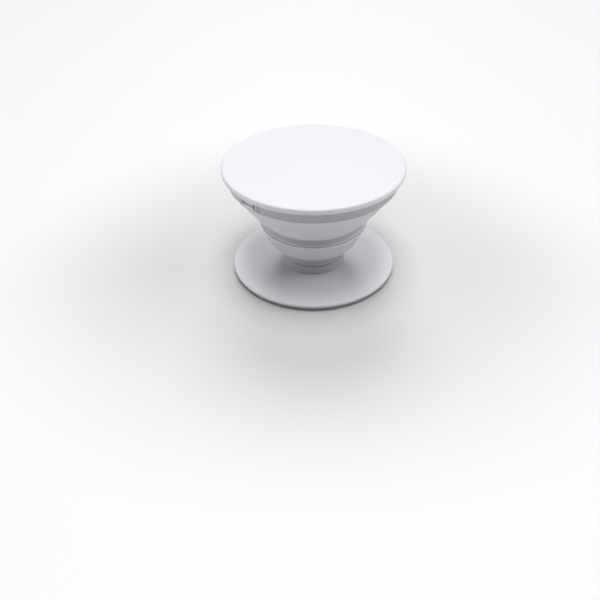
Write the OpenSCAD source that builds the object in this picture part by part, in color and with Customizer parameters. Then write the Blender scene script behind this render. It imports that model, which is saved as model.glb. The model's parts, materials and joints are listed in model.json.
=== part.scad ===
// Pull-out phone grip, shown opened.
// A thin base plate sticks to a flat back by an adhesive disc. A stepped,
// telescoping rubber cone rises from it and carries a round top that turns
// off its bayonet. The top is pressed down to shut the grip flat.
// Origin: middle of the resting face. +Z: up the axis. -Y: the snap finger.

/* [Overall] */
// Height from the resting face to the top face when pulled open
open_h = 27.5; // [27.5:0.1:28.5]
// How far the top travels down when it is pressed shut
travel = 18; // [14:0.1:18]

/* [Top disc] */
// Diameter of the round top
top_d = 41.8; // [41:0.2:46]
// Thickness of the top disc at its rim, lip included
top_t = 1.25; // [1.15:0.05:1.25]
// Radius of the rounded upper edge
edge_r = 0.4; // [0.35:0.05:0.5]
// Depth of the shallow pocket that seats the cap shell
pocket = 0.3; // [0.2:0.05:0.3]

/* [Cap shell] */
// Outer diameter of the skirt under the top disc
skirt_d = 39.1; // [39.1:0.1:39.6]
// Height of the skirt
skirt_h = 2.85; // [2.8:0.05:2.85]
// Wall thickness of the skirt
skirt_w = 0.9; // [0.8:0.05:1]
// Thickness of the closed web inside the skirt
web_t = 0.5; // [0.4:0.05:0.6]
// Angle that each bayonet lug covers
lug_a = 84; // [60:1:84]
// Width of the snap finger between its two slits
finger_w = 2.8; // [2.6:0.1:3.4]
// Width of each slit beside the snap finger
slit_w = 0.35; // [0.25:0.05:0.45]

/* [Rubber cone] */
// Outer diameter at the top of the upper band
band1_top_d = 38.9; // [38.6:0.1:39]
// Outer diameter at the bottom of the upper band
band1_bot_d = 28.2; // [28:0.1:29]
// Outer diameter at the top of the lower band
band2_top_d = 25.2; // [25:0.1:25.6]
// Outer diameter at the bottom of the lower band
band2_bot_d = 20.7; // [20.3:0.1:21]
// Outer diameter of the foot that sits on the hub
foot_d = 15; // [14.8:0.1:15]
// Wall thickness of the stiff bands
band_w = 1; // [0.9:0.05:1.1]
// Wall thickness of the thin folding webs
fold_w = 0.65; // [0.55:0.05:0.75]

/* [Base] */
// Diameter of the base plate
base_d = 39.1; // [39:0.1:40]
// Thickness of the base plate
base_t = 0.7; // [0.65:0.05:0.75]
// Diameter of the hub that carries the rubber cone
hub_d = 14.9; // [14.6:0.1:14.9]
// Height of the hub's top above the resting face
hub_top = 4; // [3.9:0.05:4]
// Diameter of the adhesive disc
pad_d = 38.1; // [37:0.1:38.3]
// Thickness of the adhesive disc
pad_t = 1.1; // [1:0.05:1.1]

/* [Hidden] */
$fn = 96;
eps = 0.01;

// heights, all measured from the resting face
plate_top = pad_t + base_t;
lip_z = open_h - top_t;           // underside of the disc's lip
shell_top = lip_z + pocket;       // top of the cap shell, in the disc's pocket
skirt_z = shell_top - skirt_h;    // bottom edge of the skirt
cone_top = skirt_z - 0.15;        // top rim of the rubber cone
lug_z = skirt_z + 0.1;            // underside of the cap's lugs
lug_t = 0.7;
mount_z = lug_z + lug_t + 0.2;    // underside of the mount plate
mount_top = shell_top - web_t - 0.2;
foot_z = hub_top + 0.2;           // shadow gap between hub and cone foot
foot_top = hub_top + 0.8;
head_top = foot_top + 0.6;        // top of the retainer's head
band1_bot_z = cone_top - 7.05;
band2_top_z = band1_bot_z - 4;
band2_bot_z = band2_top_z - 4.65;
recess_top = mount_z + 0.7;       // hollow under the mount plate, room for the folded cone
assert(recess_top - travel - plate_top > band2_top_z - band2_bot_z + 0.2,
       "the lower band would not fit between the plates when shut");

// radii
skirt_ri = skirt_d / 2 - skirt_w;
mount_lug_r = skirt_ri - 0.2;     // outer radius of the mount plate's lugs
mount_r = 17.3;                   // mount plate between its lugs
cap_lug_ri = mount_r + 0.3;       // inner radius of the cap's lugs
collar_r = mount_r - 0.1;         // collar that joins the cone to the mount plate
clamp_ri = 13.5;
clamp_ro = 15.8;
stake_pc = 14.7;                  // radius of the circle of heat stakes
stake_n = 6;
stake_d = 1.3;
bore_r = 4.3;                     // bore of the hub
leg_n = 4;

// a disc with a rounded upper edge and a slightly broken lower edge
module rounded_disc(r, z0, z1, er, lower) {
    rotate_extrude()
        union() {
            translate([0, z0]) square([r - er, z1 - z0]);
            translate([r - er, z1 - er]) circle(er, $fn = 48);
            translate([r - er - eps, z0]) square([er + eps - lower, z1 - er - z0]);
            translate([r - lower, z0 + lower]) circle(lower, $fn = 32);
            translate([r - lower - eps, z0 + lower]) square([lower + eps, z1 - er - z0 - lower]);
        }
}

// a plain ring
module ring(ro, ri, z0, z1) {
    difference() {
        translate([0, 0, z0]) cylinder(r = ro, h = z1 - z0);
        translate([0, 0, z0 - 1]) cylinder(r = ri, h = z1 - z0 + 2);
    }
}

// a piece of a ring that covers the angle a, centred on the angle mid
module arc_block(ro, ri, z0, z1, a, mid) {
    rotate([0, 0, mid - a / 2])
        rotate_extrude(angle = a)
            translate([ri, z0]) square([ro - ri, z1 - z0]);
}

// adhesive gel disc, stuck under the base plate
module adhesive_disc() {
    color([0.80, 0.81, 0.83])
        cylinder(d = pad_d, h = pad_t);
}

// base plate with its hub, bored for the retainer
module base_plate() {
    color([0.93, 0.93, 0.95])
        difference() {
            union() {
                rounded_disc(base_d / 2, pad_t, plate_top, 0.25, 0.12);
                translate([0, 0, plate_top - eps])
                    cylinder(d = hub_d, h = hub_top - plate_top + eps);
                // small fillet where the hub meets the plate
                rotate_extrude()
                    difference() {
                        translate([hub_d / 2 - 0.1, plate_top - eps]) square([0.25, 0.15 + eps]);
                        translate([hub_d / 2 + 0.15, plate_top + 0.15]) circle(0.15, $fn = 32);
                    }
            }
            translate([0, 0, pad_t - 1]) cylinder(r = bore_r, h = hub_top - pad_t + 2);
            // wider step that the retainer's hooks catch
            translate([0, 0, pad_t - 1]) cylinder(r = bore_r + 0.75, h = 2);
        }
}

// retainer that clamps the cone's foot to the hub: head, split stem, hooks
module base_retainer() {
    color([0.88, 0.88, 0.90])
        difference() {
            union() {
                translate([0, 0, foot_top]) cylinder(r = 6.4, h = head_top - foot_top);
                translate([0, 0, pad_t + 0.25])
                    cylinder(r = bore_r - 0.08, h = foot_top - pad_t - 0.25 + eps);
                // hooks under the step of the bore
                translate([0, 0, pad_t + 0.25]) cylinder(r = bore_r + 0.5, h = 0.7);
            }
            // hollow stem
            translate([0, 0, pad_t - 1]) cylinder(r = bore_r - 1.1, h = foot_top - pad_t + 0.9);
            // slots that split the stem into springy legs
            for (i = [0 : leg_n / 2 - 1])
                rotate([0, 0, 45 + i * 360 / leg_n])
                    translate([-6, -0.5, pad_t - 1]) cube([12, 1, hub_top - pad_t + 0.6]);
        }
}

// section of the rubber cone: outside going up, then inside going down
function cone_section() = [
    // foot and neck
    [4.5, hub_top],
    [foot_d / 2 - 0.8, hub_top],
    [foot_d / 2 - 0.8, foot_z],
    [foot_d / 2 - 0.1, foot_z],
    [foot_d / 2, foot_z + 0.1],
    [foot_d / 2 + 0.5, foot_z + 1.1],
    [foot_d / 2 + 0.75, band2_bot_z - 1.1],
    [foot_d / 2 + 1.1, band2_bot_z - 0.5],
    [foot_d / 2 + 1.8, band2_bot_z - 0.15],
    [band2_bot_d / 2 - 0.25, band2_bot_z - 0.1],
    // lower band
    [band2_bot_d / 2, band2_bot_z],
    [band2_top_d / 2, band2_top_z - 0.2],
    [band2_top_d / 2 - 0.1, band2_top_z],
    [band2_top_d / 2 - 0.75, band2_top_z + 0.05],
    // web between the bands, set back from both
    [band2_top_d / 2 - 0.7, band2_top_z + 1.65],
    [band2_top_d / 2 - 0.5, band2_top_z + 2.05],
    // upper band with its rounded foot, and its rim
    [band1_bot_d / 2 - 0.45, band1_bot_z - 0.35],
    [band1_bot_d / 2 + 0.3, band1_bot_z + 0.5],
    [band1_top_d / 2, cone_top - 0.1],
    [band1_top_d / 2 - 0.1, cone_top],
    [collar_r, cone_top],
    // collar and the flange under the mount plate
    [collar_r, mount_z],
    [13.4, mount_z],
    [13.4, mount_z - 0.6],
    [clamp_ro + 0.1, mount_z - 0.6],
    [clamp_ro + 0.1, cone_top - 0.8],
    [band1_top_d / 2 - 1.9, cone_top - 0.8],
    // inside of the upper band
    [band1_bot_d / 2 - 0.55, band1_bot_z + 1.1],
    [band2_top_d / 2 - 0.55 - fold_w, band2_top_z + 2.75],
    [band2_top_d / 2 - 0.75 - fold_w, band2_top_z + 2.3],
    [band2_top_d / 2 - 0.75 - fold_w, band2_top_z + 0.3],
    // inside of the lower band
    [band2_top_d / 2 - 0.2 - band_w, band2_top_z - 0.3],
    [band2_bot_d / 2 + 0.1 - band_w, band2_bot_z + 0.5],
    [foot_d / 2 + 1.6 - fold_w, band2_bot_z + 0.35],
    [foot_d / 2 + 1.0 - fold_w, band2_bot_z - 0.1],
    [foot_d / 2 + 0.7 - fold_w, band2_bot_z - 0.9],
    [foot_d / 2 + 0.4 - fold_w, foot_top + 0.6],
    [foot_d / 2 - 0.1 - fold_w, foot_top],
    [4.5, foot_top]
];

// telescoping cone, one moulding of soft rubber
module rubber_cone() {
    color([0.90, 0.90, 0.92])
        difference() {
            rotate_extrude() polygon(cone_section());
            // holes in the flange for the heat stakes
            for (i = [0 : stake_n - 1])
                rotate([0, 0, i * 360 / stake_n])
                    translate([stake_pc, 0, mount_z - 1.2])
                        cylinder(d = stake_d + 0.1, h = 2);
        }
}

// plate on top of the cone: bayonet lugs, stops and heat stakes
module mount_plate() {
    color([0.91, 0.91, 0.93]) {
        union() {
            difference() {
                translate([0, 0, mount_z]) cylinder(r = mount_r, h = mount_top - mount_z);
                translate([0, 0, mount_z - 1]) cylinder(r = 13.2, h = 1 + recess_top - mount_z);
            }
            for (s = [0, 180]) {
                // lug, lengthened at one end to carry the stop
                arc_block(mount_lug_r, mount_r - 0.5, mount_z + 0.05, mount_z + 1,
                          lug_a + 4.5, s - 2.25);
                // stop that ends the turn of the cap
                arc_block(mount_lug_r - 0.05, mount_r - 0.05, lug_z, mount_z + 0.5,
                          3, s - lug_a / 2 - 2.9);
            }
            for (i = [0 : stake_n - 1])
                rotate([0, 0, i * 360 / stake_n])
                    translate([stake_pc, 0, 0]) {
                        translate([0, 0, mount_z - 1.5]) cylinder(d = stake_d, h = 1.5 + eps);
                        // flattened head of the stake
                        translate([0, 0, mount_z - 1.65]) cylinder(d = stake_d + 0.8, h = 0.25);
                    }
        }
    }
}

// ring that clamps the cone's flange up against the mount plate
module clamp_ring() {
    color([0.87, 0.87, 0.89])
        difference() {
            ring(clamp_ro, clamp_ri, mount_z - 1.35, mount_z - 0.65);
            for (i = [0 : stake_n - 1])
                rotate([0, 0, i * 360 / stake_n])
                    translate([stake_pc, 0, mount_z - 2])
                        cylinder(d = stake_d + 0.05, h = 2);
        }
}

// cap shell: closed web, skirt, inward lugs and the snap finger
module cap_shell() {
    boss_w = finger_w + 2 * slit_w + 1.4;
    fr = skirt_d / 2;
    color([0.92, 0.92, 0.94])
        difference() {
            union() {
                translate([0, 0, shell_top - web_t]) cylinder(r = fr, h = web_t);
                ring(fr, skirt_ri, skirt_z, shell_top - eps);
                for (s = [0, 180])
                    arc_block(skirt_ri + 0.3, cap_lug_ri, lug_z, lug_z + lug_t, lug_a, s);
                // shoulders beside the finger stand out under the lip
                intersection() {
                    ring(fr + 0.55, fr - 0.3, skirt_z + 0.05, lip_z - 0.05);
                    translate([-boss_w / 2, -fr - 2, skirt_z - 1]) cube([boss_w, 4, skirt_h + 2]);
                }
                // bead on the wall below the finger's free end
                intersection() {
                    rotate_extrude()
                        polygon([[fr - 0.3, skirt_z + 0.6], [fr + 0.55, skirt_z + 0.6],
                                 [fr + 0.85, skirt_z + 1], [fr + 0.85, skirt_z + 1.2],
                                 [fr - 0.3, skirt_z + 1.2]]);
                    translate([-finger_w / 2, -fr - 2, skirt_z - 1]) cube([finger_w, 4, skirt_h + 2]);
                }
            }
            // slits on both sides of the finger, joined below its free end
            for (s = [-1, 1])
                translate([s * (finger_w + slit_w) / 2 - slit_w / 2, -fr - 2, skirt_z + 1.05])
                    cube([slit_w, 4, lip_z - skirt_z - 1.15]);
            translate([-finger_w / 2 - slit_w, -fr - 2, skirt_z + 1.2])
                cube([finger_w + 2 * slit_w, 4, 0.15]);
        }
}

// thin round top with a rounded edge and a lip over the skirt
module top_disc() {
    color([0.95, 0.95, 0.97])
        difference() {
            rounded_disc(top_d / 2, lip_z, open_h, edge_r, 0.3);
            translate([0, 0, lip_z - 1]) cylinder(r = skirt_d / 2 + 0.05, h = 1 + pocket);
        }
}

adhesive_disc();
base_plate();
base_retainer();
rubber_cone();
mount_plate();
clamp_ring();
cap_shell();
top_disc();
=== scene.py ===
"""Pull-out phone grip, opened, on a plain pale floor. Every size is in mm until the mesh is made."""
import json
import math

import bmesh
import bpy
import numpy as np
from mathutils import Matrix, Vector

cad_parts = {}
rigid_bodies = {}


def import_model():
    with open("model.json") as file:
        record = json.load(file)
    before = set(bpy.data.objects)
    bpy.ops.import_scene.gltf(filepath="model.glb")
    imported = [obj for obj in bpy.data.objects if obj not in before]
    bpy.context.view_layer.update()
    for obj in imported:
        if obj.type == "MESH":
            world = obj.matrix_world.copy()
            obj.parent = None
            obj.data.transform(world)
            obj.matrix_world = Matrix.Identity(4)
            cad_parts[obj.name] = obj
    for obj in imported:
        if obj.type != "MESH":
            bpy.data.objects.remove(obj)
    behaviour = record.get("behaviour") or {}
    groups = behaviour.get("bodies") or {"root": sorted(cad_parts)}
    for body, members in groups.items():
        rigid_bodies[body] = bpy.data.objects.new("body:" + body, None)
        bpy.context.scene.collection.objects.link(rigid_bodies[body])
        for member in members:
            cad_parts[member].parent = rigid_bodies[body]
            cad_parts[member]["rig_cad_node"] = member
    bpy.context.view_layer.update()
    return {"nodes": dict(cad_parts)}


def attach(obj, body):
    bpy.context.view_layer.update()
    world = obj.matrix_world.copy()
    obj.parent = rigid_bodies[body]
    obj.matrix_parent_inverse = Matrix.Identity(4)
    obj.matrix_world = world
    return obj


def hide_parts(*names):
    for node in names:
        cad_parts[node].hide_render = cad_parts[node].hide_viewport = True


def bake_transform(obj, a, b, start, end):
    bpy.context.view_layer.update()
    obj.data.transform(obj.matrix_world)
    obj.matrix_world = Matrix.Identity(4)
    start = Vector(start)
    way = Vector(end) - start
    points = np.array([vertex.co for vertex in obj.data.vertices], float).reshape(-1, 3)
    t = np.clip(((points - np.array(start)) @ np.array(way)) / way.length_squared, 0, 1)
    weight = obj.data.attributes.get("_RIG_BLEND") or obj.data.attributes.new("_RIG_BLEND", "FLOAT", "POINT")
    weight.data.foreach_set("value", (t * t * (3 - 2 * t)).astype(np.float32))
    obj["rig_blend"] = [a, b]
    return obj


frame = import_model()
scene = bpy.context.scene
MM = 0.001

# ------------------------------------------------------------------ camera
CAM_POS = Vector((102.651, -107.263, 103.26)) * MM
AZ, EL, ROLL = math.radians(45.08), math.radians(37.7345), math.radians(-0.8098)
back = Vector((math.sin(AZ) * math.cos(EL), -math.cos(AZ) * math.cos(EL), math.sin(EL)))
right = Vector((math.cos(AZ), math.sin(AZ), 0))
up = back.cross(right)
r2 = right * math.cos(ROLL) + up * math.sin(ROLL)
u2 = -right * math.sin(ROLL) + up * math.cos(ROLL)
cam_data = bpy.data.cameras.new("camera")
cam = bpy.data.objects.new("camera", cam_data)
scene.collection.objects.link(cam)
cam.matrix_world = Matrix(
    (
        (r2.x, u2.x, back.x, CAM_POS.x),
        (r2.y, u2.y, back.y, CAM_POS.y),
        (r2.z, u2.z, back.z, CAM_POS.z),
        (0, 0, 0, 1),
    )
)
cam_data.sensor_fit = "HORIZONTAL"
cam_data.sensor_width = 36.0
cam_data.lens = 725.2 / 600 * 36.0
cam_data.clip_start, cam_data.clip_end = 0.005, 20.0
scene.camera = cam

scene.view_settings.view_transform = "Standard"
scene.view_settings.look = "None"


# ------------------------------------------------------------------ mesh tools
def rounded(points, seg=6):
    """A closed outline of (r, z, fillet radius) corners, with each corner turned into an arc and a support point beside each long edge."""
    out = []
    n = len(points)
    for i in range(n):
        p = np.array(points[i][:2], float)
        rad = points[i][2] if len(points[i]) > 2 else 0.0
        a = np.array(points[i - 1][:2], float) - p
        b = np.array(points[(i + 1) % n][:2], float) - p
        la, lb = np.linalg.norm(a), np.linalg.norm(b)
        a, b = a / la, b / lb
        if rad <= 0:
            out.append(tuple(p))
            continue
        cosang = float(np.clip(a @ b, -1, 1))
        half = math.acos(cosang) / 2
        if half > math.radians(89):
            out.append(tuple(p))
            continue
        t = min(rad / math.tan(half), la * 0.49, lb * 0.49)
        rr = t * math.tan(half)
        c = p + (a + b) / np.linalg.norm(a + b) * (rr / math.sin(half))
        p0, p1 = p + a * t, p + b * t
        a0 = math.atan2(p0[1] - c[1], p0[0] - c[0])
        a1 = math.atan2(p1[1] - c[1], p1[0] - c[0])
        d = (a1 - a0 + math.pi) % (2 * math.pi) - math.pi
        k = max(2, int(math.ceil(abs(d) / (math.pi / 2) * seg)))
        for j in range(k + 1):
            q = a0 + d * j / k
            out.append((c[0] + rr * math.cos(q), c[1] + rr * math.sin(q)))
    full = []
    n = len(out)
    for i in range(n):
        p, q = np.array(out[i]), np.array(out[(i + 1) % n])
        full.append((float(p[0]), float(p[1])))
        length = float(np.linalg.norm(q - p))
        if length > 0.16:
            steps = max(1, int(length / 0.9))
            for t in [0.04 / length] + [j / steps for j in range(1, steps)] + [1 - 0.04 / length]:
                w = p + (q - p) * t
                full.append((float(w[0]), float(w[1])))
    # one point on the axis is enough on each face
    clean = [full[0]]
    for p in full[1:]:
        if math.hypot(p[0] - clean[-1][0], p[1] - clean[-1][1]) > 1e-5:
            clean.append(p)
    return clean


def make_object(name, verts, faces, sharp=32):
    me = bpy.data.meshes.new(name)
    me.from_pydata(verts, [], faces)
    me.validate()
    bm = bmesh.new()
    bm.from_mesh(me)
    bmesh.ops.recalc_face_normals(bm, faces=bm.faces)
    bm.to_mesh(me)
    bm.free()
    me.shade_smooth()
    me.set_sharp_from_angle(angle=math.radians(sharp))
    me.update()
    o = bpy.data.objects.new(name, me)
    scene.collection.objects.link(o)
    return o


def lathe(name, outline, seg=288, bulge=None, sharp=32):
    """Turns a closed outline of (r, z) round the Z axis. bulge(r, z, angle) gives an (r, z) for each point."""
    verts, faces, rings = [], [], []
    for r, z in outline:
        if r < 1e-6:
            rings.append([len(verts)])
            verts.append((0, 0, z * MM))
        else:
            ring = []
            for k in range(seg):
                a = 2 * math.pi * k / seg
                rr, zz = bulge(r, z, a) if bulge else (r, z)
                ring.append(len(verts))
                verts.append((rr * math.cos(a) * MM, rr * math.sin(a) * MM, zz * MM))
            rings.append(ring)
    n = len(outline)
    for i in range(n):
        a, b = rings[i], rings[(i + 1) % n]
        if len(a) == 1 and len(b) == 1:
            continue
        for k in range(seg):
            m = (k + 1) % seg
            if len(a) == 1:
                faces.append((a[0], b[k], b[m]))
            elif len(b) == 1:
                faces.append((a[k], b[0], a[m]))
            else:
                faces.append((a[k], b[k], b[m], a[m]))
    return make_object(name, verts, faces, sharp)


def smooth(e0, e1, x):
    t = min(1.0, max(0.0, (x - e0) / (e1 - e0)))
    return t * t * (3 - 2 * t)


# ------------------------------------------------------------------ materials
def material(name, dark, light, rough, grain=0.25, grain_scale=2600.0, spread=45.0, coat=0.0, sss=0.0, spec=0.5, rough_var=0.05):
    """Moulded plastic or rubber: two close tones in slow patches, a fine moulded grain and a roughness that varies a little."""
    m = bpy.data.materials.new(name)
    m.use_nodes = True
    nt = m.node_tree
    nt.nodes.clear()
    out = nt.nodes.new("ShaderNodeOutputMaterial")
    bsdf = nt.nodes.new("ShaderNodeBsdfPrincipled")
    nt.links.new(bsdf.outputs["BSDF"], out.inputs["Surface"])
    tc = nt.nodes.new("ShaderNodeTexCoord")
    slow = nt.nodes.new("ShaderNodeTexNoise")
    slow.inputs["Scale"].default_value = spread
    slow.inputs["Detail"].default_value = 3.0
    nt.links.new(tc.outputs["Object"], slow.inputs["Vector"])
    ramp = nt.nodes.new("ShaderNodeValToRGB")
    ramp.color_ramp.elements[0].position = 0.3
    ramp.color_ramp.elements[0].color = (*dark, 1)
    ramp.color_ramp.elements[1].position = 0.7
    ramp.color_ramp.elements[1].color = (*light, 1)
    nt.links.new(slow.outputs["Fac"], ramp.inputs["Fac"])
    nt.links.new(ramp.outputs["Color"], bsdf.inputs["Base Color"])
    fine = nt.nodes.new("ShaderNodeTexNoise")
    fine.inputs["Scale"].default_value = grain_scale
    fine.inputs["Detail"].default_value = 4.0
    fine.inputs["Roughness"].default_value = 0.6
    nt.links.new(tc.outputs["Object"], fine.inputs["Vector"])
    rr = nt.nodes.new("ShaderNodeMapRange")
    rr.inputs["From Min"].default_value = 0.3
    rr.inputs["From Max"].default_value = 0.7
    rr.inputs["To Min"].default_value = rough - rough_var
    rr.inputs["To Max"].default_value = rough + rough_var
    nt.links.new(fine.outputs["Fac"], rr.inputs["Value"])
    nt.links.new(rr.outputs["Result"], bsdf.inputs["Roughness"])
    bump = nt.nodes.new("ShaderNodeBump")
    bump.inputs["Strength"].default_value = grain
    bump.inputs["Distance"].default_value = 0.00002
    nt.links.new(fine.outputs["Fac"], bump.inputs["Height"])
    nt.links.new(bump.outputs["Normal"], bsdf.inputs["Normal"])
    bsdf.inputs["Specular IOR Level"].default_value = spec
    bsdf.inputs["Coat Weight"].default_value = coat
    bsdf.inputs["Coat Roughness"].default_value = 0.3
    if sss:
        bsdf.inputs["Subsurface Weight"].default_value = sss
        bsdf.inputs["Subsurface Radius"].default_value = (0.0012, 0.0011, 0.001)
    return m


TOP = material("top_plastic", (0.80, 0.794, 0.825), (0.815, 0.809, 0.84), 0.42, grain=0.3, spec=0.35)
# painted shade: the shell is a darker copy of the top's plastic, standing in for the shade under the top's lip
SHELL = material("shell_plastic_painted_shade", (0.565, 0.558, 0.578), (0.58, 0.573, 0.593), 0.45, grain=0.3, spec=0.35)
BASE = material("base_plastic", (0.82, 0.813, 0.842), (0.835, 0.828, 0.857), 0.4, grain=0.25, spec=0.4)
RUBBER = material("soft_rubber", (0.695, 0.688, 0.71), (0.712, 0.705, 0.727), 0.58, grain=0.5, grain_scale=1900.0, spec=0.3)
# painted shade: a darker copy of the soft rubber for the shaded webs and neck
PAINTED_SHADE_RUBBER = material("rubber_painted_shade", (0.555, 0.55, 0.57), (0.57, 0.565, 0.585), 0.58, grain=0.5, grain_scale=1900.0, spec=0.3)
# painted highlight: a lighter copy of the soft rubber for the lit rim of the lower band
PAINTED_HIGHLIGHT_RUBBER = material("rubber_painted_highlight", (0.82, 0.813, 0.835), (0.835, 0.828, 0.85), 0.55, grain=0.5, grain_scale=1900.0, spec=0.35)
# painted highlight: a lighter plastic for the bead below the snap finger
PAINTED_HIGHLIGHT_BEAD = material("bead_painted_highlight", (0.9, 0.893, 0.915), (0.92, 0.913, 0.935), 0.35, grain=0.1, spec=0.5)
# painted shade: a darker copy of the base plastic for the hub in the shade under the cap
HUB = material("hub_painted_shade", (0.64, 0.635, 0.66), (0.655, 0.65, 0.675), 0.45, grain=0.25, spec=0.3)
INNER = material("inner_plastic", (0.78, 0.775, 0.8), (0.81, 0.805, 0.83), 0.5, grain=0.3)
GEL = material("adhesive_gel", (0.36, 0.36, 0.372), (0.43, 0.43, 0.442), 0.28, grain=0.6, grain_scale=900.0, spec=0.5, rough_var=0.08)


def paint(o, mat):
    if not o.data.materials:
        o.data.materials.append(mat)
    for s in o.material_slots:
        s.link = "OBJECT" if "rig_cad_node" in o else "DATA"
        s.material = mat


# ------------------------------------------------------------------ sizes, as in the CAD source
PAD_R, PAD_T = 19.05, 1.1
BASE_R, PLATE_TOP, HUB_R, HUB_TOP, BORE = 19.55, 1.8, 7.45, 4.0, 4.3
FOOT_Z, FOOT_TOP = 4.2, 4.8
B2_BOT, B2_TOP, B1_BOT, CONE_TOP = 7.85, 12.5, 16.5, 23.55
COLLAR_R, MOUNT_Z = 17.2, 24.7
SKIRT_R, SKIRT_RI, SKIRT_Z, SHELL_TOP, WEB = 19.55, 18.65, 23.7, 26.55, 0.5
TOP_R, LIP_Z, TOP_Z, EDGE = 20.9, 26.25, 27.5, 0.4

# ------------------------------------------------------------------ top disc
top = lathe(
    "top_face_disc",
    rounded(
        [
            (0, TOP_Z),
            (TOP_R, TOP_Z, EDGE),
            (TOP_R, LIP_Z, 0.3),
            (SKIRT_R + 0.05, LIP_Z, 0.08),
            (SKIRT_R + 0.05, SHELL_TOP, 0.05),
            (0, SHELL_TOP),
        ],
        seg=10,
    ),
    seg=360,
)
paint(top, TOP)
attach(top, "cap")
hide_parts("top_disc")

# ------------------------------------------------------------------ base plate with its hub
base = lathe(
    "base_plate_disc",
    rounded(
        [
            (BORE, HUB_TOP, 0.1),
            (HUB_R, HUB_TOP, 0.14),
            (HUB_R, PLATE_TOP, 0.12),
            (BASE_R, PLATE_TOP, 0.25),
            (BASE_R, PAD_T, 0.12),
            (BORE + 0.75, PAD_T, 0.1),
            (BORE + 0.75, PAD_T + 1.0, 0.08),
            (BORE, PAD_T + 1.0, 0.06),
        ],
        seg=8,
    ),
    seg=360,
)
paint(base, BASE)
# painted shade: the hub above the plate gets the darker copy of the base plastic
base.data.materials.append(HUB)
for poly in base.data.polygons:
    if poly.center.z > (PLATE_TOP + 0.1) * MM:
        poly.material_index = 1
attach(base, "base")
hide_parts("base_plate")

# ------------------------------------------------------------------ adhesive disc
rng = np.random.default_rng(7)
phase = rng.uniform(0, 2 * math.pi, 6)


def gel_edge(r, z, a):
    if r > PAD_R - 0.5:
        k = (r - PAD_R + 0.5) / 0.5
        r += k * 0.05 * sum(math.sin(a * f + phase[i]) / (1 + i) for i, f in enumerate((3, 7, 13, 22, 37, 61)))
        r = min(r, PAD_R + 0.02)
    return r, z


pad = lathe(
    "adhesive_gel_disc",
    rounded([(0, PAD_T), (PAD_R, PAD_T, 0.08), (PAD_R - 0.12, PAD_T / 2, 0.3), (PAD_R, 0, 0.1), (0, 0)], seg=6),
    seg=288,
    bulge=gel_edge,
)
paint(pad, GEL)
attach(pad, "base")
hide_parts("adhesive_disc")

# ------------------------------------------------------------------ rubber cone
CONE = [
    (4.5, HUB_TOP, 0),
    (6.6, HUB_TOP, 0),
    (6.6, FOOT_Z, 0.05),
    (7.5, FOOT_Z, 0.12),
    (7.9, FOOT_Z + 1.1, 0.8),
    (8.15, B2_BOT - 0.95, 0.6),
    (8.75, B2_BOT - 0.2, 0.5),
    (10.15, B2_BOT - 0.1, 0.2),
    (10.38, B2_BOT + 0.15, 0.25),
    (12.5, B2_TOP - 0.3, 0.3),
    (12.6, B2_TOP + 0.25, 0.2),
    (12.2, B2_TOP + 0.3, 0.04),
    (12.1, B2_TOP + 0.7, 0.02),
    (11.9, B1_BOT - 2.2, 0.5),
    (14.15, B1_BOT, 1.4),
    (19.45, CONE_TOP, 0.12),
    (COLLAR_R, CONE_TOP, 0.08),
    (COLLAR_R, MOUNT_Z, 0),
    (13.4, MOUNT_Z, 0.1),
    (13.4, MOUNT_Z - 0.6, 0.1),
    (15.9, MOUNT_Z - 0.6, 0.1),
    (15.9, CONE_TOP - 0.8, 0.2),
    (17.55, CONE_TOP - 0.8, 0.3),
    (13.5, B1_BOT + 1.1, 0.8),
    (11.25, B1_BOT - 1.6, 0.5),
    (11.2, B2_TOP + 0.3, 0.3),
    (11.4, B2_TOP - 0.3, 0.3),
    (9.45, B2_BOT + 0.5, 0.3),
    (8.35, B2_BOT + 0.35, 0.4),
    (7.75, B2_BOT - 0.1, 0.4),
    (7.45, B2_BOT - 0.9, 0.6),
    (7.15, FOOT_TOP + 0.6, 0.5),
    (6.65, FOOT_TOP, 0.2),
    (4.5, FOOT_TOP, 0.1),
]
cone = lathe("rubber_accordion", rounded(CONE, seg=6), seg=288)
# holes in the flange for the heat stakes
cutters = []
for i in range(6):
    a = math.radians(60 * i)
    bpy.ops.mesh.primitive_cylinder_add(
        vertices=32, radius=0.7 * MM, depth=1.6 * MM, location=(14.7 * MM * math.cos(a), 14.7 * MM * math.sin(a), (MOUNT_Z - 0.3) * MM)
    )
    cutters.append(bpy.context.object)
for c in cutters:
    mod = cone.modifiers.new("hole", "BOOLEAN")
    mod.operation = "DIFFERENCE"
    mod.solver = "EXACT"
    mod.object = c
dg = bpy.context.evaluated_depsgraph_get()
cut = bpy.data.meshes.new_from_object(cone.evaluated_get(dg))
cone.modifiers.clear()
old = cone.data
cone.data = cut
bpy.data.meshes.remove(old)
for c in cutters:
    bpy.data.objects.remove(c, do_unlink=True)
cone.data.shade_smooth()
cone.data.set_sharp_from_angle(angle=math.radians(32))
cone.data.materials.clear()
cone.data.materials.append(RUBBER)
cone.data.materials.append(PAINTED_SHADE_RUBBER)
cone.data.materials.append(PAINTED_HIGHLIGHT_RUBBER)
# painted shade and highlight: the webs and the neck get a darker copy of the rubber for the shade in these hollows, and
# the rim on top of the lower band a lighter copy for the light it catches
for poly in cone.data.polygons:
    cz = poly.center.z / MM
    cr = math.hypot(poly.center.x, poly.center.y) / MM
    web = B2_TOP + 0.66 < cz < B1_BOT - 1.9 and cr < 12.3
    neck = FOOT_Z + 0.1 < cz < B2_BOT - 0.3 and cr < 9.2
    rim = B2_TOP - 0.25 < cz < B2_TOP + 0.66 and cr > 12.02
    poly.material_index = 1 if web or neck else 2 if rim else 0
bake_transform(cone, "base", "mount", start=(0, 0, FOOT_TOP * MM), end=(0, 0, CONE_TOP * MM))
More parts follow.
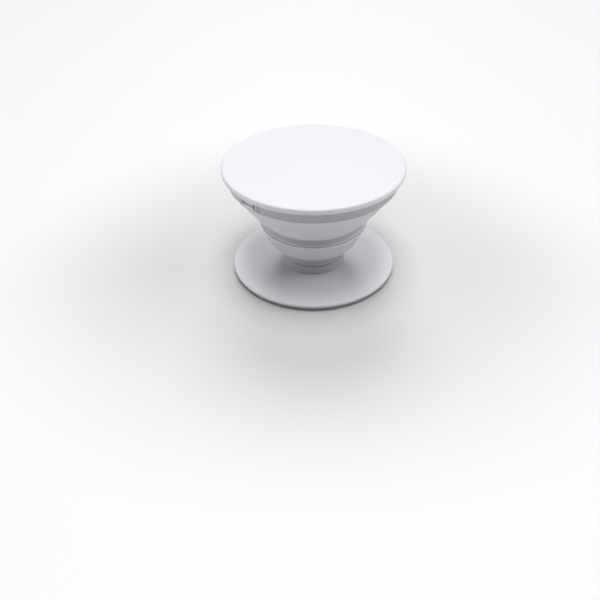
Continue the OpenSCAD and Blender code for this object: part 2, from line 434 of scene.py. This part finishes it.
# the stiff bands move as rings and nest in one another, and only the webs between them fold
TRAVEL = 18.0
W2 = (B2_BOT - 1.9) / TRAVEL
W1 = (B1_BOT - 2.2) / TRAVEL
KNOTS_Z = [0, B2_BOT - 1.2, B2_BOT - 0.2, B2_TOP + 0.3, B1_BOT - 2.2, B1_BOT, CONE_TOP, 40]
KNOTS_W = [0, 0, W2, W2, 0.533, W1, 1, 1]
attribute = cone.data.attributes["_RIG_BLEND"]
zz = np.array([v.co.z for v in cone.data.vertices]) / MM
attribute.data.foreach_set("value", np.interp(zz, KNOTS_Z, KNOTS_W).astype(np.float32))
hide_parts("rubber_cone")


# ------------------------------------------------------------------ cap shell, with lugs and the snap finger
def cap_shell():
    """The wall is a grid of angles and heights with the same rows outside and inside, so that the finger's slits are missing cells."""
    fw, sw, boss = 2.8, 0.35, 4.9
    mid = -90.0

    def ang(mm):
        return math.degrees(mm / SKIRT_R)

    edges = sorted(
        {
            round(mid + s * ang(x), 5)
            for s in (-1, 1)
            for x in (fw / 2, fw / 2 + sw, fw / 2 - 0.07, fw / 2 + sw + 0.07, boss / 2, boss / 2 - 0.15, boss / 2 + 0.3)
        }
    )
    lug = []
    for c in (0.0, 180.0):
        for s in (-1, 1):
            lug += [c + s * 42.0, c + s * 42.0 + s * 0.02, c + s * 41.8]
    angles = set()
    for k in range(300):
        angles.add(round(-180 + 1.2 * k, 5))
    extra = [(a + 180) % 360 - 180 for a in edges + lug]
    for k in range(-14, 15):
        extra.append(mid + k * 0.6)
    for a in extra:
        a = round(a, 5)
        angles = {b for b in angles if abs(b - a) > 0.25 or b in [round(e, 5) for e in extra]}
        angles.add(a)
    angles = sorted(angles)
    slit_lo, slit_hi = SKIRT_Z + 1.05, LIP_Z - 0.1
    slot_lo, slot_hi = SKIRT_Z + 1.2, SKIRT_Z + 1.23
    rows = [SKIRT_Z + h for h in (0.06, 0.2, 0.35, 0.5, 0.6, 0.75, 0.9, 1.0)]
    rows += [slit_lo, SKIRT_Z + 1.1, SKIRT_Z + 1.15, slot_lo, slot_hi]
    rows += [SKIRT_Z + h for h in (1.32, 1.6, 1.9, 2.2, 2.4)] + [slit_hi, LIP_Z - 0.05]

    def off(a):
        return abs((a - mid + 180) % 360 - 180) * math.pi / 180 * SKIRT_R  # mm along the wall from the finger's middle

    def outer(a, z):
        x = off(a)
        r = SKIRT_R
        shoulder = 1 - smooth(boss / 2 - 0.15, boss / 2 + 0.3, x)
        lift = 0.5 * smooth(SKIRT_Z, SKIRT_Z + 0.5, z)
        r += shoulder * lift
        if x < fw / 2 + 0.001:
            # bead below the free end of the finger, and the finger itself a little set back
            bead = 0.14 * smooth(SKIRT_Z + 0.5, SKIRT_Z + 0.9, z) - 0.06 * smooth(SKIRT_Z + 1.1, SKIRT_Z + 1.2, z)
            r += bead if z < slot_lo + 0.01 else -0.03
        return r

    def in_lug(a):
        return any(abs((a - c + 180) % 360 - 180) <= 42.0 + 1e-6 for c in (0.0, 180.0))

    na = len(angles)
    verts, faces = [], []
    index = {}

    def add(key, r, a, z):
        index[key] = len(verts)
        t = math.radians(a)
        verts.append((r * math.cos(t) * MM, r * math.sin(t) * MM, z * MM))

    all_rows = rows
    for j, a in enumerate(angles):
        inl = in_lug(a)
        # top face ring and rounded upper corner
        for n, (r, z) in enumerate([(14.0, SHELL_TOP), (SKIRT_R - 0.1, SHELL_TOP), (SKIRT_R - 0.03, SHELL_TOP - 0.03), (SKIRT_R, SHELL_TOP - 0.1)]):
            add(("t", n, j), r, a, z)
        for n, z in enumerate(all_rows):
            add(("o", n, j), outer(a, z), a, z)
            add(("i", n, j), SKIRT_RI, a, z)
        # bottom edge, slightly rounded
        add(("b", 0, j), SKIRT_R - 0.02, a, SKIRT_Z + 0.015)
        add(("b", 1, j), SKIRT_R - 0.08, a, SKIRT_Z)
        add(("b", 2, j), SKIRT_RI + 0.06, a, SKIRT_Z)
        # web's underside
        for n, (r, z) in enumerate([(SKIRT_RI, SHELL_TOP - WEB - 0.12), (SKIRT_RI - 0.04, SHELL_TOP - WEB - 0.04), (SKIRT_RI - 0.12, SHELL_TOP - WEB), (14.0, SHELL_TOP - WEB)]):
            add(("w", n, j), r, a, z)
    verts.append((0, 0, SHELL_TOP * MM))
    ct = len(verts) - 1
    verts.append((0, 0, (SHELL_TOP - WEB) * MM))
    cb = len(verts) - 1

    def slit(j, n):
        """True where the cell between angles j and j+1 and rows n and n+1 is cut away."""
        a = (angles[j] + (angles[(j + 1) % na] if j + 1 < na else angles[0] + 360)) / 2
        z = (all_rows[n] + all_rows[n + 1]) / 2
        x = off(a)
        if x > fw / 2 + sw:
            return False
        if fw / 2 < x:
            return slit_lo < z < slit_hi
        return slot_lo < z < slot_hi

    nr = len(all_rows)
    for j in range(na):
        k = (j + 1) % na

        def q(a, b):
            faces.append((index[(*a, j)], index[(*a, k)], index[(*b, k)], index[(*b, j)]))

        faces.append((ct, index[("t", 0, j)], index[("t", 0, k)]))
        faces.append((cb, index[("w", 3, k)], index[("w", 3, j)]))
        for n in range(3):
            q(("t", n), ("t", n + 1))
        q(("t", 3), ("o", nr - 1))
        q(("o", 0), ("b", 0))
        q(("b", 0), ("b", 1))
        q(("b", 1), ("b", 2))
        q(("b", 2), ("i", 0))
        q(("i", nr - 1), ("w", 0))
        for n in range(3):
            q(("w", n), ("w", n + 1))
        for n in range(nr - 1):
            if not slit(j, n):
                faces.append((index[("o", n, j)], index[("o", n, k)], index[("o", n + 1, k)], index[("o", n + 1, j)]))
                faces.append((index[("i", n, j)], index[("i", n + 1, j)], index[("i", n + 1, k)], index[("i", n, k)]))
                continue
            # walls of the cut-away cell, towards each neighbour that is still there
            if not slit((j - 1) % na, n):
                faces.append((index[("o", n, j)], index[("o", n + 1, j)], index[("i", n + 1, j)], index[("i", n, j)]))
            if not slit(k, n):
                faces.append((index[("o", n, k)], index[("o", n + 1, k)], index[("i", n + 1, k)], index[("i", n, k)]))
            if not slit(j, n - 1):
                faces.append((index[("o", n, j)], index[("o", n, k)], index[("i", n, k)], index[("i", n, j)]))
            if not slit(j, n + 1):
                faces.append((index[("o", n + 1, j)], index[("o", n + 1, k)], index[("i", n + 1, k)], index[("i", n + 1, j)]))
    return verts, faces


v, f = cap_shell()
shell = make_object("cap_under_shell", v, f, sharp=35)
# bayonet lugs inside the skirt
lugs = []
for c in (0, 180):
    bm = bmesh.new()
    rings = []
    lug_z = SKIRT_Z + 0.1
    section = [(17.6, lug_z + 0.1), (17.7, lug_z), (SKIRT_RI + 0.3, lug_z), (SKIRT_RI + 0.3, lug_z + 0.7), (17.7, lug_z + 0.7), (17.6, lug_z + 0.6)]
    steps = 84
    for s in range(steps + 1):
        a = math.radians(c - 42 + 84 * s / steps)
        rings.append([bm.verts.new((r * math.cos(a) * MM, r * math.sin(a) * MM, z * MM)) for r, z in section])
    for s in range(steps):
        for i in range(6):
            bm.faces.new((rings[s][i], rings[s][(i + 1) % 6], rings[s + 1][(i + 1) % 6], rings[s + 1][i]))
    bm.faces.new(rings[0])
    bm.faces.new(list(reversed(rings[-1])))
    bmesh.ops.recalc_face_normals(bm, faces=bm.faces)
    me = bpy.data.meshes.new("lug")
    bm.to_mesh(me)
    bm.free()
    o = bpy.data.objects.new("lug", me)
    scene.collection.objects.link(o)
    lugs.append(o)
for o in lugs:
    mod = shell.modifiers.new("lug", "BOOLEAN")
    mod.operation = "UNION"
    mod.solver = "EXACT"
    mod.object = o
dg = bpy.context.evaluated_depsgraph_get()
joined = bpy.data.meshes.new_from_object(shell.evaluated_get(dg))
shell.modifiers.clear()
old = shell.data
shell.data = joined
bpy.data.meshes.remove(old)
for o in lugs:
    bpy.data.objects.remove(o, do_unlink=True)
shell.data.shade_smooth()
shell.data.set_sharp_from_angle(angle=math.radians(35))
shell.data.materials.clear()
# painted shade: the shell gets the darker copy of the top's plastic
paint(shell, SHELL)
shell.data.materials.append(PAINTED_HIGHLIGHT_BEAD)
# painted highlight: the bead below the snap finger gets a lighter copy of the shell's plastic for the light its edge
# catches
for poly in shell.data.polygons:
    c = poly.center / MM
    if c.y < -SKIRT_R - 0.5 and abs(c.x) < 1.45 and SKIRT_Z + 0.7 < c.z < SKIRT_Z + 1.22:
        poly.material_index = 1
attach(shell, "cap")
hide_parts("cap_shell")

# ------------------------------------------------------------------ inner pieces keep their CAD shape
for n in ("base_retainer", "mount_plate", "clamp_ring"):
    paint(frame["nodes"][n], INNER)

# ------------------------------------------------------------------ floor and light
fm = bpy.data.materials.new("floor")
fm.use_nodes = True
fb = fm.node_tree.nodes["Principled BSDF"]
fb.inputs["Roughness"].default_value = 0.5
fb.inputs["Specular IOR Level"].default_value = 0.3
ftc = fm.node_tree.nodes.new("ShaderNodeTexCoord")
flen = fm.node_tree.nodes.new("ShaderNodeVectorMath")
flen.operation = "LENGTH"
fm.node_tree.links.new(ftc.outputs["Object"], flen.inputs[0])
# painted shade: the floor's colour is darker close round the grip and turns paler further out, a shadow painted round
# its foot
framp = fm.node_tree.nodes.new("ShaderNodeMapRange")
framp.interpolation_type = "SMOOTHSTEP"
framp.inputs["From Min"].default_value = 0.024
framp.inputs["From Max"].default_value = 0.085
fm.node_tree.links.new(flen.outputs["Value"], framp.inputs["Value"])
fmix = fm.node_tree.nodes.new("ShaderNodeMix")
fmix.data_type = "RGBA"
fmix.inputs["A"].default_value = (0.67, 0.67, 0.675, 1)
fmix.inputs["B"].default_value = (0.9, 0.9, 0.905, 1)
fm.node_tree.links.new(framp.outputs["Result"], fmix.inputs["Factor"])
fm.node_tree.links.new(fmix.outputs["Result"], fb.inputs["Base Color"])
bpy.ops.mesh.primitive_plane_add(size=6, location=(0, 0, -0.00002))
floor = bpy.context.object
floor.name = "floor"
floor.data.materials.append(fm)

# strengths of the sky's two bands and of the softboxes, each given by its tilt from overhead, its side and its half angle
GAIN = {"sky_low": 0.0, "sky_high": 0.0, "over": 7.76, "over_front": 4.25, "rear": 4.2, "right": 1.3, "left_low": 2.6, "right_low": 1.15}
BOXES = {"over": (0, 0, 15), "over_front": (24, 0, 13), "rear": (45, 180, 16), "right": (52, 90, 22), "left_low": (80, -95, 18), "right_low": (80, 95, 18)}
world = bpy.data.worlds.new("studio")
scene.world = world
world.use_nodes = True
nt = world.node_tree
nt.nodes.clear()
wo = nt.nodes.new("ShaderNodeOutputWorld")
bg = nt.nodes.new("ShaderNodeBackground")
tc = nt.nodes.new("ShaderNodeTexCoord")
sep = nt.nodes.new("ShaderNodeSeparateXYZ")
nt.links.new(tc.outputs["Generated"], sep.inputs["Vector"])
mr = nt.nodes.new("ShaderNodeMapRange")
mr.interpolation_type = "SMOOTHSTEP"
mr.inputs["From Min"].default_value = 0.15
mr.inputs["From Max"].default_value = 0.6
mr.inputs["To Min"].default_value = GAIN["sky_low"]
mr.inputs["To Max"].default_value = GAIN["sky_high"]
nt.links.new(sep.outputs["Z"], mr.inputs["Value"])
nt.links.new(mr.outputs["Result"], bg.inputs["Strength"])
bg.inputs["Color"].default_value = (0.985, 0.98, 1.0, 1)
seen = nt.nodes.new("ShaderNodeBackground")
seen.inputs["Color"].default_value = (0.86, 0.86, 0.875, 1)
pick = nt.nodes.new("ShaderNodeMixShader")
path = nt.nodes.new("ShaderNodeLightPath")
nt.links.new(path.outputs["Is Camera Ray"], pick.inputs["Fac"])
nt.links.new(bg.outputs[0], pick.inputs[1])
nt.links.new(seen.outputs[0], pick.inputs[2])
nt.links.new(pick.outputs[0], wo.inputs[0])


def softbox(name, tilt, side, half, gain):
    """A round softbox 2 m away. side 0 is towards the camera and 90 to its right."""
    if gain <= 0:
        return
    t, s = math.radians(tilt), math.radians(side)
    front = Vector((math.sin(AZ), -math.cos(AZ), 0))
    d = (front * math.cos(s) + right * math.sin(s)) * math.sin(t) + Vector((0, 0, math.cos(t)))
    far = 2.0
    light = bpy.data.lights.new(name, "AREA")
    light.shape = "DISK"
    light.size = 2 * far * math.tan(math.radians(half))
    light.energy = gain * math.pi * math.pi * (light.size / 2) ** 2
    light.color = (0.99, 0.985, 1.0)
    o = bpy.data.objects.new(name, light)
    o.matrix_world = Matrix.Translation(d * far + Vector((0, 0, 0.014))) @ d.to_track_quat("Z", "Y").to_matrix().to_4x4()
    o.visible_camera = False
    scene.collection.objects.link(o)


for k, (tilt, side, half) in BOXES.items():
    softbox("softbox_" + k, tilt, side, half, GAIN[k])
